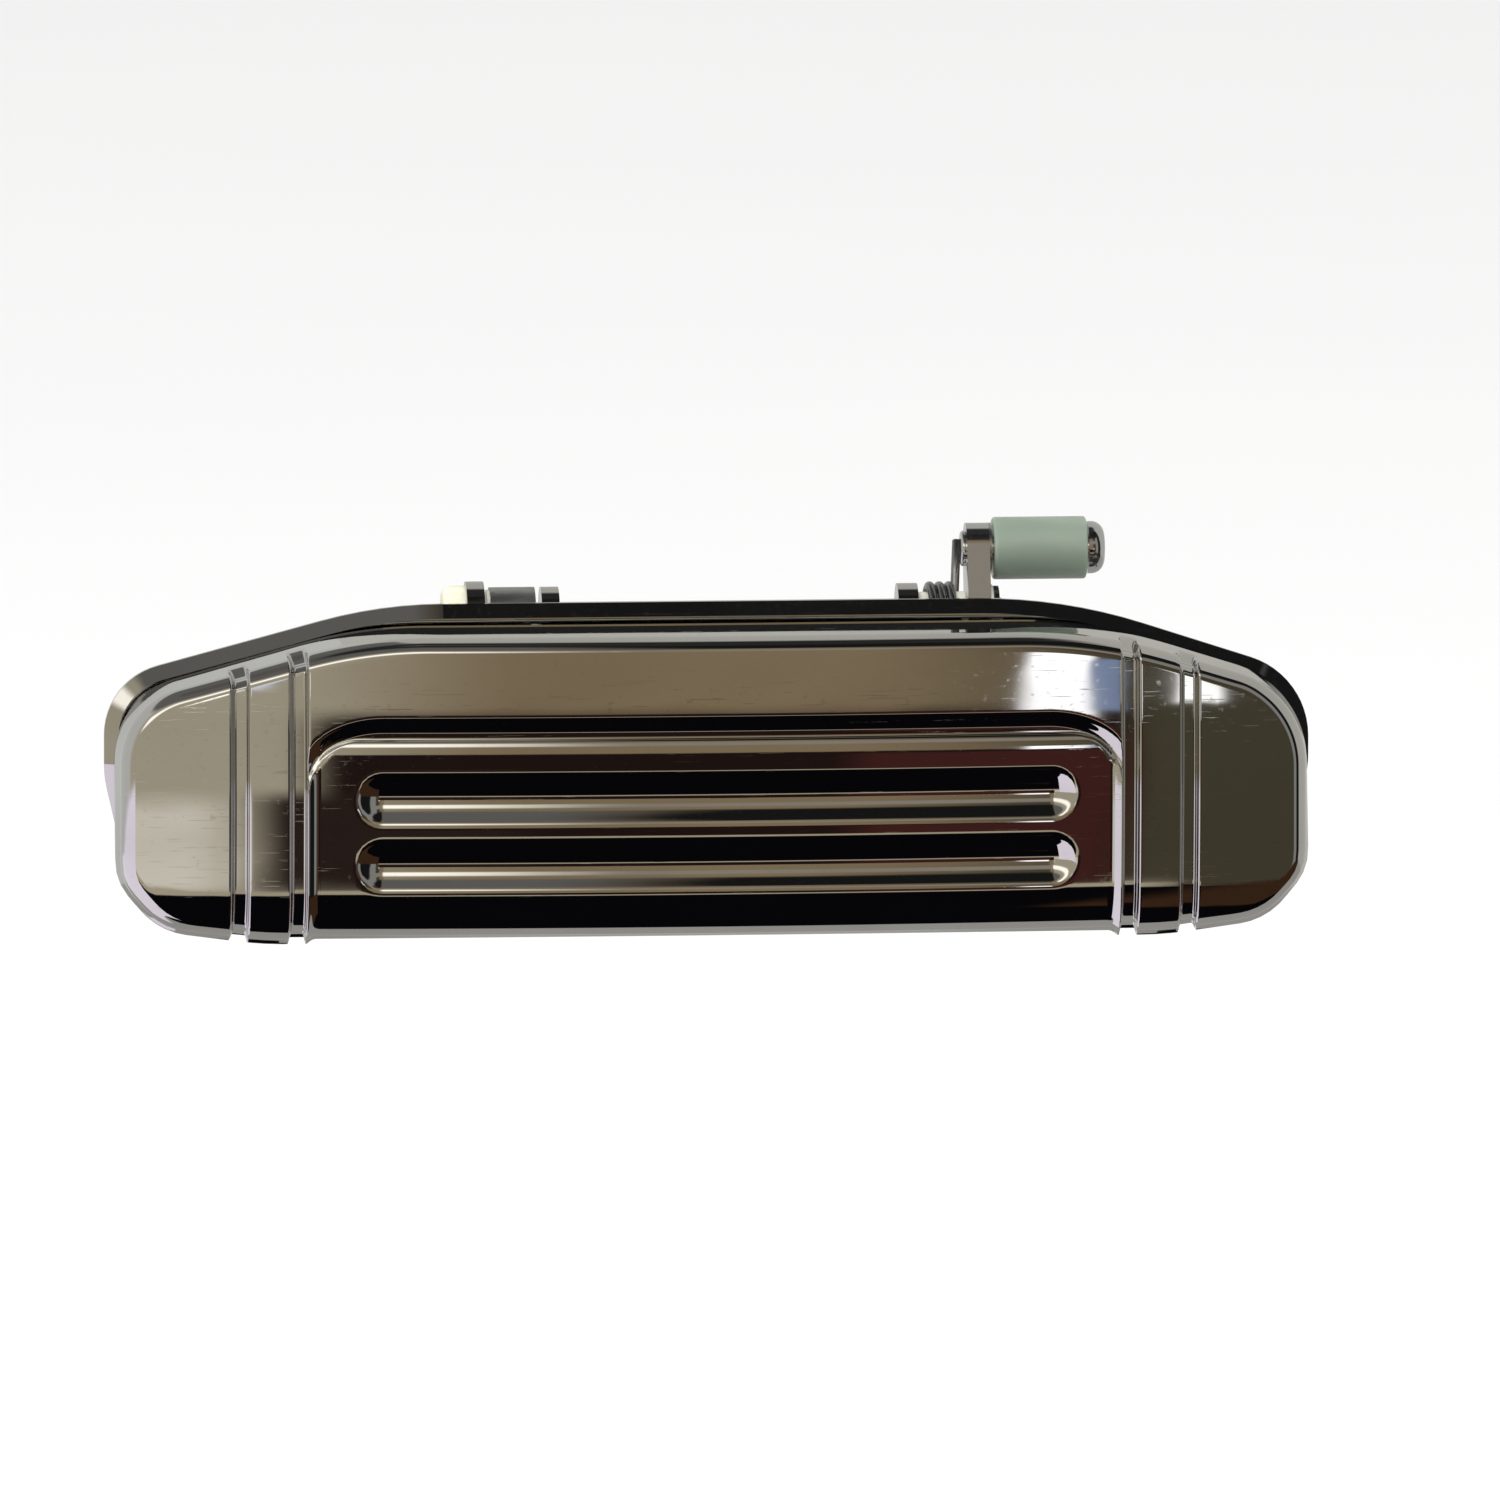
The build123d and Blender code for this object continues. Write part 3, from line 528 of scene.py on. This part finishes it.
# ---------------------------------------------------------------- return spring
def build_spring(material):
    """The torsion spring, one fixed piece on no body: its front leg stays on the flange, and its rear leg
    lies by the roller's rivet, the leg that turns with the paddle in the real handle.
    """
    hinge = np.array((0.0, 8.0, 26.5))
    roller = np.array((0.0, 11.0, 36.5))
    wire_r, coil_r, turns, x_from, x_to = 0.75, 4.1, 3, 37.4, 42.6
    front_leg, rear_leg, tip_round = 8.2, 12.6, 0.2
    peen_r, leg_gap = 3.0, 0.1  # the rear leg lies this close to the peened end of the roller's rivet
    coil_steps, sides = 140, 14
    lean = atan2(roller[2] - hinge[2], roller[1] - hinge[1])
    reach = np.linalg.norm(roller - hinge)
    end_angle = turns * 2 * pi + lean + asin((coil_r - peen_r - wire_r - leg_gap) / reach)

    def coil(angle):
        x = x_from + (x_to - x_from) * angle / end_angle
        return np.array((x, hinge[1] + coil_r * sin(angle), hinge[2] - coil_r * cos(angle)))

    def heading(angle):
        step = 1e-4
        direction = coil(angle + step) - coil(angle - step)
        return direction / np.linalg.norm(direction)

    path = [coil(0) - heading(0) * d for d in (front_leg, front_leg - tip_round, front_leg / 2)]
    path += [coil(end_angle * k / coil_steps) for k in range(coil_steps + 1)]
    for d in (rear_leg / 2, rear_leg - tip_round, rear_leg):
        path.append(coil(end_angle) + heading(end_angle) * d)
    last = len(path) - 1
    vertices = []
    for k, point in enumerate(path):
        along = path[min(k + 1, last)] - path[max(k - 1, 0)]
        along /= np.linalg.norm(along)
        across = np.cross(along, (1.0, 0, 0))
        across /= np.linalg.norm(across)
        other = np.cross(along, across)
        r = wire_r - (tip_round if k in (0, last) else 0)
        for j in range(sides):
            angle = 2 * pi * j / sides
            vertices.append(point + r * (across * cos(angle) + other * sin(angle)))
    faces = tube_faces(len(path), sides)
    piece = mesh_object("return_spring_wire", vertices, faces, material, None)
    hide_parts("return_spring")
    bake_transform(piece)
    return piece


# ---------------------------------------------------------------- materials
def feed(tree, socket, value):
    """Links a socket to another node's output, or gives it a plain value."""
    if isinstance(value, bpy.types.NodeSocket):
        tree.links.new(value, socket)
    else:
        socket.default_value = value


def math_node(tree, operation, *values):
    """The result of one operation on values or on other nodes' outputs."""
    node = tree.nodes.new("ShaderNodeMath")
    node.operation = operation
    for socket, value in zip(node.inputs, values):
        feed(tree, socket, value)
    return node.outputs[0]


class Shader:
    """A node material: a Principled shader, and short calls that add textures to it."""

    def __init__(self, name, **values):
        self.material = bpy.data.materials.new(name)
        self.material.use_nodes = True
        self.tree = self.material.node_tree
        self.shader = self.tree.nodes["Principled BSDF"]
        for socket, value in values.items():
            self.shader.inputs[socket.replace("_", " ")].default_value = value
        self.place = self.tree.nodes.new("ShaderNodeTexCoord").outputs["Object"]
        self.bump_out = None

    def node(self, kind, inputs, **settings):
        """A node with its settings, and inputs given as values or as other nodes' outputs."""
        node = self.tree.nodes.new(kind)
        for name, value in settings.items():
            setattr(node, name, value)
        for name, value in inputs.items():
            feed(self.tree, node.inputs[name], value)
        return node

    def noise(self, scale, detail=3.0, stretch=(1, 1, 1), turn=(0, 0, 0), distortion=0.0):
        """Noise with this many cells to the metre, finer along an axis where stretch is larger."""
        mapped = self.node(
            "ShaderNodeMapping",
            {"Vector": self.place, "Scale": stretch, "Rotation": [radians(a) for a in turn]},
        )
        inputs = {"Vector": mapped.outputs[0], "Scale": scale, "Detail": detail, "Distortion": distortion}
        return self.node("ShaderNodeTexNoise", inputs).outputs["Fac"]

    def spread(self, value, low, high, to_low, to_high):
        """Maps low..high of a value to to_low..to_high, and stops there."""
        inputs = {"Value": value, "From Min": low, "From Max": high, "To Min": to_low, "To Max": to_high}
        return self.node("ShaderNodeMapRange", inputs).outputs[0]

    def blend(self, share, first, second):
        """Two colours mixed by a share."""
        node = self.node("ShaderNodeMix", {"Factor": share}, data_type="RGBA")
        for socket, value in ((node.inputs[6], first), (node.inputs[7], second)):
            feed(self.tree, socket, (*value, 1.0) if isinstance(value, tuple) else value)
        return node.outputs[2]

    def math(self, operation, first, second):
        """The result of one operation on two values."""
        return math_node(self.tree, operation, first, second)

    def bump(self, height, distance, strength=1.0):
        """Adds a relief of this many metres to whatever relief is there."""
        inputs = {"Height": height, "Distance": distance, "Strength": strength}
        if self.bump_out is not None:
            inputs["Normal"] = self.bump_out
        self.bump_out = self.node("ShaderNodeBump", inputs).outputs["Normal"]
        self.link(self.bump_out, "Normal")

    def link(self, value, socket):
        """Gives a texture to one of the Principled shader's inputs."""
        self.tree.links.new(value, self.shader.inputs[socket])


DUST_COLOUR = (0.5, 0.48, 0.45)
GRIME_COLOUR = (0.08, 0.07, 0.06)
RUBBER_COLOUR = (0.018, 0.018, 0.02)
BLOOM_COLOUR = (0.075, 0.073, 0.07)


def scratch_mask(look, turn):
    """Sparse hairline scratches that run across the given turn, 1 in a scratch and 0 outside."""
    lines = look.noise(90.0, detail=2.0, stretch=(1.0, 6.0, 38.0), turn=turn)
    return look.spread(lines, 0.69, 0.73, 0.0, 1.0)


def chrome(name, tint, haze, wave):
    """Chrome plate: faint waviness, hairline scratches, wiped smears and a little haze."""
    look = Shader(name, Metallic=1.0)
    smear = look.noise(16.0, detail=5.0, stretch=(1, 2, 3), turn=(10, 0, 35), distortion=0.8)
    dust = look.spread(look.noise(900.0, detail=2.0), 0.62, 0.74, 0.0, 1.0)
    scratches = look.math("MAXIMUM", scratch_mask(look, (0, 35, 8)), scratch_mask(look, (15, -60, -20)))
    rough = look.spread(smear, 0.35, 0.75, haze, haze * 2.6)
    rough = look.math("ADD", rough, look.math("MULTIPLY", scratches, 0.07))
    rough = look.math("ADD", rough, look.math("MULTIPLY", dust, 0.05))
    look.link(rough, "Roughness")
    smeared = tuple(c * 0.86 for c in tint)
    colour = look.blend(look.spread(smear, 0.3, 0.7, 0.0, 1.0), tint, smeared)
    look.link(look.blend(look.math("MULTIPLY", dust, 0.25), colour, DUST_COLOUR), "Base Color")
    look.bump(look.noise(55.0, detail=1.0, stretch=(1, 1, 2)), wave)
    look.bump(scratches, -0.000002, 0.4)
    return look.material


def steel(name, colour, rough, grain):
    """Plated or drawn steel: fine grain along its length, blotches of dull zinc, and a little grime."""
    look = Shader(name, Metallic=1.0)
    lines = look.noise(700.0, detail=3.0, stretch=(0.08, 1, 1))
    blotch = look.noise(160.0, detail=4.0, distortion=0.5)
    look.link(look.spread(lines, 0.3, 0.7, rough * 0.7, rough * 1.5), "Roughness")
    dull = tuple(c * 0.72 for c in colour)
    mixed = look.blend(look.spread(blotch, 0.35, 0.65, 0.0, 1.0), colour, dull)
    grime = look.spread(look.noise(420.0, detail=2.0), 0.64, 0.76, 0.0, 0.55)
    look.link(look.blend(grime, mixed, GRIME_COLOUR), "Base Color")
    look.bump(lines, grain)
    return look.material


def nylon(name, colour, deep, clear):
    """Nylon: light sinks in, with faint clouding, flow lines and a satin skin."""
    look = Shader(name, Subsurface_Weight=0.55, Subsurface_Scale=0.004, IOR=1.53, Transmission_Weight=clear)
    look.shader.inputs["Subsurface Radius"].default_value = (1.0, 1.0, 0.8)
    cloud = look.noise(150.0, detail=2.0, stretch=(0.4, 1, 1), distortion=0.4)
    look.link(look.blend(look.spread(cloud, 0.3, 0.7, 0.0, 1.0), colour, deep), "Base Color")
    fine = look.noise(1500.0, detail=2.0, stretch=(0.3, 1, 1))
    look.link(look.spread(fine, 0.3, 0.7, 0.13, 0.22), "Roughness")
    look.bump(fine, 0.000006, 0.4)
    return look.material


def rubber(name):
    """Moulded black rubber: fine grain, and a grey bloom where dust sits."""
    look = Shader(name, IOR=1.5)
    grain = look.noise(2600.0, detail=3.0)
    bloom = look.noise(120.0, detail=4.0)
    dusty = look.spread(bloom, 0.45, 0.75, 0.0, 0.6)
    look.link(look.blend(dusty, RUBBER_COLOUR, BLOOM_COLOUR), "Base Color")
    look.link(look.spread(bloom, 0.3, 0.7, 0.5, 0.78), "Roughness")
    look.bump(grain, 0.00003, 0.7)
    return look.material


def assign(materials):
    """Gives every shown CAD node the material of its slot."""
    slot_of = {part["node"]: part["material_slot"] for part in frame["record"]["subparts"]}
    for node, piece in frame["nodes"].items():
        piece.data.materials.clear()
        piece.data.materials.append(materials[slot_of[node]])


# ---------------------------------------------------------------- studio
PLAIN_LIGHT = 0.92  # strength of the surroundings for everything but reflections
WALL_COLOUR = (0.30, 0.225, 0.135)
# What the chrome reflects: left and right azimuth, low and high elevation, softness in degrees, colour.
# Azimuth 0 is out of the door and 90 is to the right. A later patch covers an earlier one.
ZONES = (
    (-400, -3.5, -90, 91, 3.5, (0.50, 0.45, 0.34)),  # wall, lighter to the left
    (12.5, 60, -90, 91, 4.5, (0.078, 0.068, 0.043)),  # and dark olive to the right
    (60, 400, -90, 91, 12, (0.55, 0.54, 0.50)),
    (30, 52, -50, 60, 2.5, (0.30, 0.30, 0.29)),  # grey and dark uprights further right
    (52, 76, -50, 60, 2.5, (0.012, 0.012, 0.012)),
    (-400, -75, -90, 91, 14, (0.62, 0.62, 0.60)),
    (-60, 40, 19, 33, 2.5, (0.34, 0.30, 0.25)),  # long light high in front
    (-60, 0, 19, 33, 3.5, (1.7, 1.62, 1.45)),  # brighter to the left
    (-180, 6.0, 44, 74, 4, (0.16, 0.155, 0.145)),  # grey ceiling to the left
    (5.0, 80, 43, 76, 3.5, (0.012, 0.012, 0.012)),  # unlit ceiling
    (-400, 400, 72, 91, 6, (0.03, 0.03, 0.03)),
    (-60, -7.6, -17.5, -10.0, 1.2, (0.85, 0.80, 0.69)),  # lighter low on the left
    (-400, 400, -91, -21.5, 1.2, (0.42, 0.41, 0.39)),  # floor far off to the sides
    (-78, 82, -91, -21.5, 1.2, (0.003, 0.003, 0.004)),  # dark floor in front
    (18.5, 82, -50, -19.5, 1.5, (0.055, 0.026, 0.013)),  # brown at its right side
    (-50, 17, -21.5, -17.0, 0.8, (0.52, 0.45, 0.33)),  # pale edge of the floor
    (-140, -28, -70, -8.6, 0.6, (1.05, 0.97, 1.1)),  # low window at the far left
    (-5.4, 15.6, -17.0, -3.2, 0.9, (0.020, 0.0105, 0.009)),  # dark shape that stands in front
    (-6.8, 0, -17.0, -9.5, 0.8, (0.030, 0.018, 0.015)),  # wider at its foot
    (8.5, 15.4, -17.0, -5.5, 0.8, (0.07, 0.021, 0.018)),  # its redder side
    (12.7, 14.5, -4.2, 1.2, 0.2, (1.9, 1.9, 1.95)),  # small windows, with a dimmer pane beside the first
    (14.4, 15.3, -3.6, 0.6, 0.2, (0.27, 0.35, 0.55)),
    (16.6, 17.8, -3.0, 1.0, 0.2, (1.9, 1.9, 1.9)),
    (-9.0, -7.9, -1.8, 2.2, 0.25, (1.9, 1.85, 1.7)),
    (-7.6, -6.4, -1.2, 2.6, 0.25, (0.9, 0.95, 1.05)),
)


def zone_group():
    """A node group that paints one patch of the surroundings, given by azimuth and elevation in degrees."""
    tree = bpy.data.node_groups.new("zone", "ShaderNodeTree")
    for name in ("azimuth", "elevation", "left", "right", "low", "high", "soft"):
        tree.interface.new_socket(name=name, in_out="INPUT", socket_type="NodeSocketFloat")
    for name in ("around", "colour"):
        tree.interface.new_socket(name=name, in_out="INPUT", socket_type="NodeSocketColor")
    tree.interface.new_socket(name="result", in_out="OUTPUT", socket_type="NodeSocketColor")
    inside = tree.nodes.new("NodeGroupInput").outputs
    out = tree.nodes.new("NodeGroupOutput")

    def step(value, edge, sign):
        """0 to 1 across an edge, as far as soft on both sides of it: upwards for a sign of -1."""
        low = math_node(tree, "MULTIPLY_ADD", inside["soft"], sign, edge)
        high = math_node(tree, "MULTIPLY_ADD", inside["soft"], -sign, edge)
        node = tree.nodes.new("ShaderNodeMapRange")
        node.interpolation_type = "SMOOTHSTEP"
        tree.links.new(value, node.inputs["Value"])
        tree.links.new(low, node.inputs["From Min"])
        tree.links.new(high, node.inputs["From Max"])
        return node.outputs[0]

    mask = step(inside["azimuth"], inside["left"], -1.0)
    others = (("azimuth", "right", 1.0), ("elevation", "low", -1.0), ("elevation", "high", 1.0))
    for value, edge, sign in others:
        mask = math_node(tree, "MULTIPLY", mask, step(inside[value], inside[edge], sign))
    mix = tree.nodes.new("ShaderNodeMix")
    mix.data_type = "RGBA"
    tree.links.new(mask, mix.inputs[0])
    tree.links.new(inside["around"], mix.inputs[6])
    tree.links.new(inside["colour"], mix.inputs[7])
    tree.links.new(mix.outputs[2], out.inputs["result"])
    return tree


def build_world():
    """Plain light for everything diffuse, and the zones above for what is reflected."""
    world = bpy.data.worlds.new("studio")
    bpy.context.scene.world = world
    world.use_nodes = True
    tree = world.node_tree
    tree.nodes.clear()
    direction = tree.nodes.new("ShaderNodeSeparateXYZ")
    tree.links.new(tree.nodes.new("ShaderNodeTexCoord").outputs["Generated"], direction.inputs[0])
    x, y, z = direction.outputs
    to_degrees = 180 / pi
    out_of_door = math_node(tree, "MULTIPLY", y, -1.0)
    azimuth = math_node(tree, "MULTIPLY", math_node(tree, "ARCTAN2", x, out_of_door), to_degrees)
    elevation = math_node(tree, "MULTIPLY", math_node(tree, "ARCSINE", z), to_degrees)
    group = zone_group()
    colour = (*WALL_COLOUR, 1.0)
    for left, right, low, high, soft, tint in ZONES:
        node = tree.nodes.new("ShaderNodeGroup")
        node.node_tree = group
        settings = {
            "azimuth": azimuth, "elevation": elevation, "left": left, "right": right, "low": low,
            "high": high, "soft": soft, "colour": (*tint, 1.0), "around": colour,
        }
        for name, value in settings.items():
            feed(tree, node.inputs[name], value)
        colour = node.outputs["result"]
    reflected = tree.nodes.new("ShaderNodeBackground")
    tree.links.new(colour, reflected.inputs["Color"])
    plain = tree.nodes.new("ShaderNodeBackground")
    plain.inputs["Color"].default_value = (1.0, 1.0, 1.0, 1.0)
    plain.inputs["Strength"].default_value = PLAIN_LIGHT
    mix = tree.nodes.new("ShaderNodeMixShader")
    tree.links.new(tree.nodes.new("ShaderNodeLightPath").outputs["Is Glossy Ray"], mix.inputs[0])
    tree.links.new(plain.outputs[0], mix.inputs[1])
    tree.links.new(reflected.outputs[0], mix.inputs[2])
    tree.links.new(mix.outputs[0], tree.nodes.new("ShaderNodeOutputWorld").inputs["Surface"])


def build_floor():
    """A plain pale floor. It isn't seen in the chrome."""
    look = Shader("pale_floor", Roughness=0.9, Specular_IOR_Level=0.1)
    cloud = look.noise(3.0, detail=2.0)
    look.link(look.blend(cloud, (0.86, 0.86, 0.86), (0.88, 0.88, 0.875)), "Base Color")
    half, low = 60.0, -0.15
    vertices = [(-half, -half, low), (half, -half, low), (half, half, low), (-half, half, low)]
    mesh = bpy.data.meshes.new("floor")
    mesh.from_pydata(vertices, [], [(0, 1, 2, 3)])
    mesh.materials.append(look.material)
    floor = bpy.data.objects.new("floor", mesh)
    bpy.context.scene.collection.objects.link(floor)
    floor.visible_glossy = False


def build_lights():
    """One wide soft light above and in front, and a weaker one from the left."""
    for name, place, size, power in (
        ("key", (-0.5, -1.6, 2.2), 2.4, 60.0),
        ("fill", (-2.4, -0.9, 0.7), 1.8, 14.0),
    ):
        data = bpy.data.lights.new(name, "AREA")
        data.size = size
        data.energy = power
        light = bpy.data.objects.new(name, data)
        light.location = place
        light.rotation_euler = (-Vector(place)).to_track_quat("-Z", "Y").to_euler()
        light.visible_glossy = False
        light.visible_camera = False
        bpy.context.scene.collection.objects.link(light)


def build_camera():
    """A long lens, a little to the left and above. The handle is left of and below the view's middle."""
    azimuth, elevation, distance = radians(-5.0), radians(7.0), 6.0
    view_width, sensor = 0.2505, 36.0
    right_by, up_by, front_by = 0.0072, 0.0042, 0.02  # the middle of the view, from the part's origin
    outwards = Vector((sin(azimuth) * cos(elevation), -cos(azimuth) * cos(elevation), sin(elevation)))
    turn = (-outwards).to_track_quat("-Z", "Y")
    target = turn @ Vector((1, 0, 0)) * right_by + turn @ Vector((0, 1, 0)) * up_by
    place = target + outwards * front_by + outwards * distance
    data = bpy.data.cameras.new("camera")
    data.sensor_width = sensor
    data.lens = sensor * distance / view_width
    data.clip_end = 50.0
    camera = bpy.data.objects.new("camera", data)
    camera.matrix_world = Matrix.Translation(place) @ turn.to_matrix().to_4x4()
    bpy.context.scene.collection.objects.link(camera)
    bpy.context.scene.camera = camera


# ---------------------------------------------------------------- build
materials = {
    "chrome_base": chrome("chrome_base", (0.60, 0.60, 0.59), 0.035, 0.00002),
    "chrome_paddle": chrome("chrome_paddle", (0.64, 0.635, 0.62), 0.018, 0.00002),
    "chrome_lever": chrome("chrome_lever", (0.66, 0.67, 0.67), 0.06, 0.00003),
    "carrier_zinc": steel("carrier_zinc", (0.52, 0.53, 0.52), 0.34, 0.00002),
    "zinc_steel": steel("zinc_steel", (0.60, 0.60, 0.57), 0.24, 0.00001),
    "pin_steel": steel("pin_steel", (0.56, 0.56, 0.56), 0.18, 0.00001),
    "spring_steel": steel("spring_steel", (0.30, 0.30, 0.31), 0.22, 0.00001),
    "natural_nylon": nylon("natural_nylon", (0.83, 0.81, 0.66), (0.72, 0.69, 0.52), 0.0),
    "roller_nylon": nylon("roller_nylon", (0.27, 0.325, 0.265), (0.23, 0.28, 0.225), 0.15),
    "gasket_rubber": rubber("gasket_rubber"),
    "bumper_rubber": rubber("bumper_rubber"),
}
assign(materials)
build_paddle(materials["chrome_paddle"])
build_studs(materials["zinc_steel"])
build_spring(materials["spring_steel"])
build_world()
build_floor()
build_lights()
build_camera()
bpy.context.scene.view_settings.view_transform = "Standard"
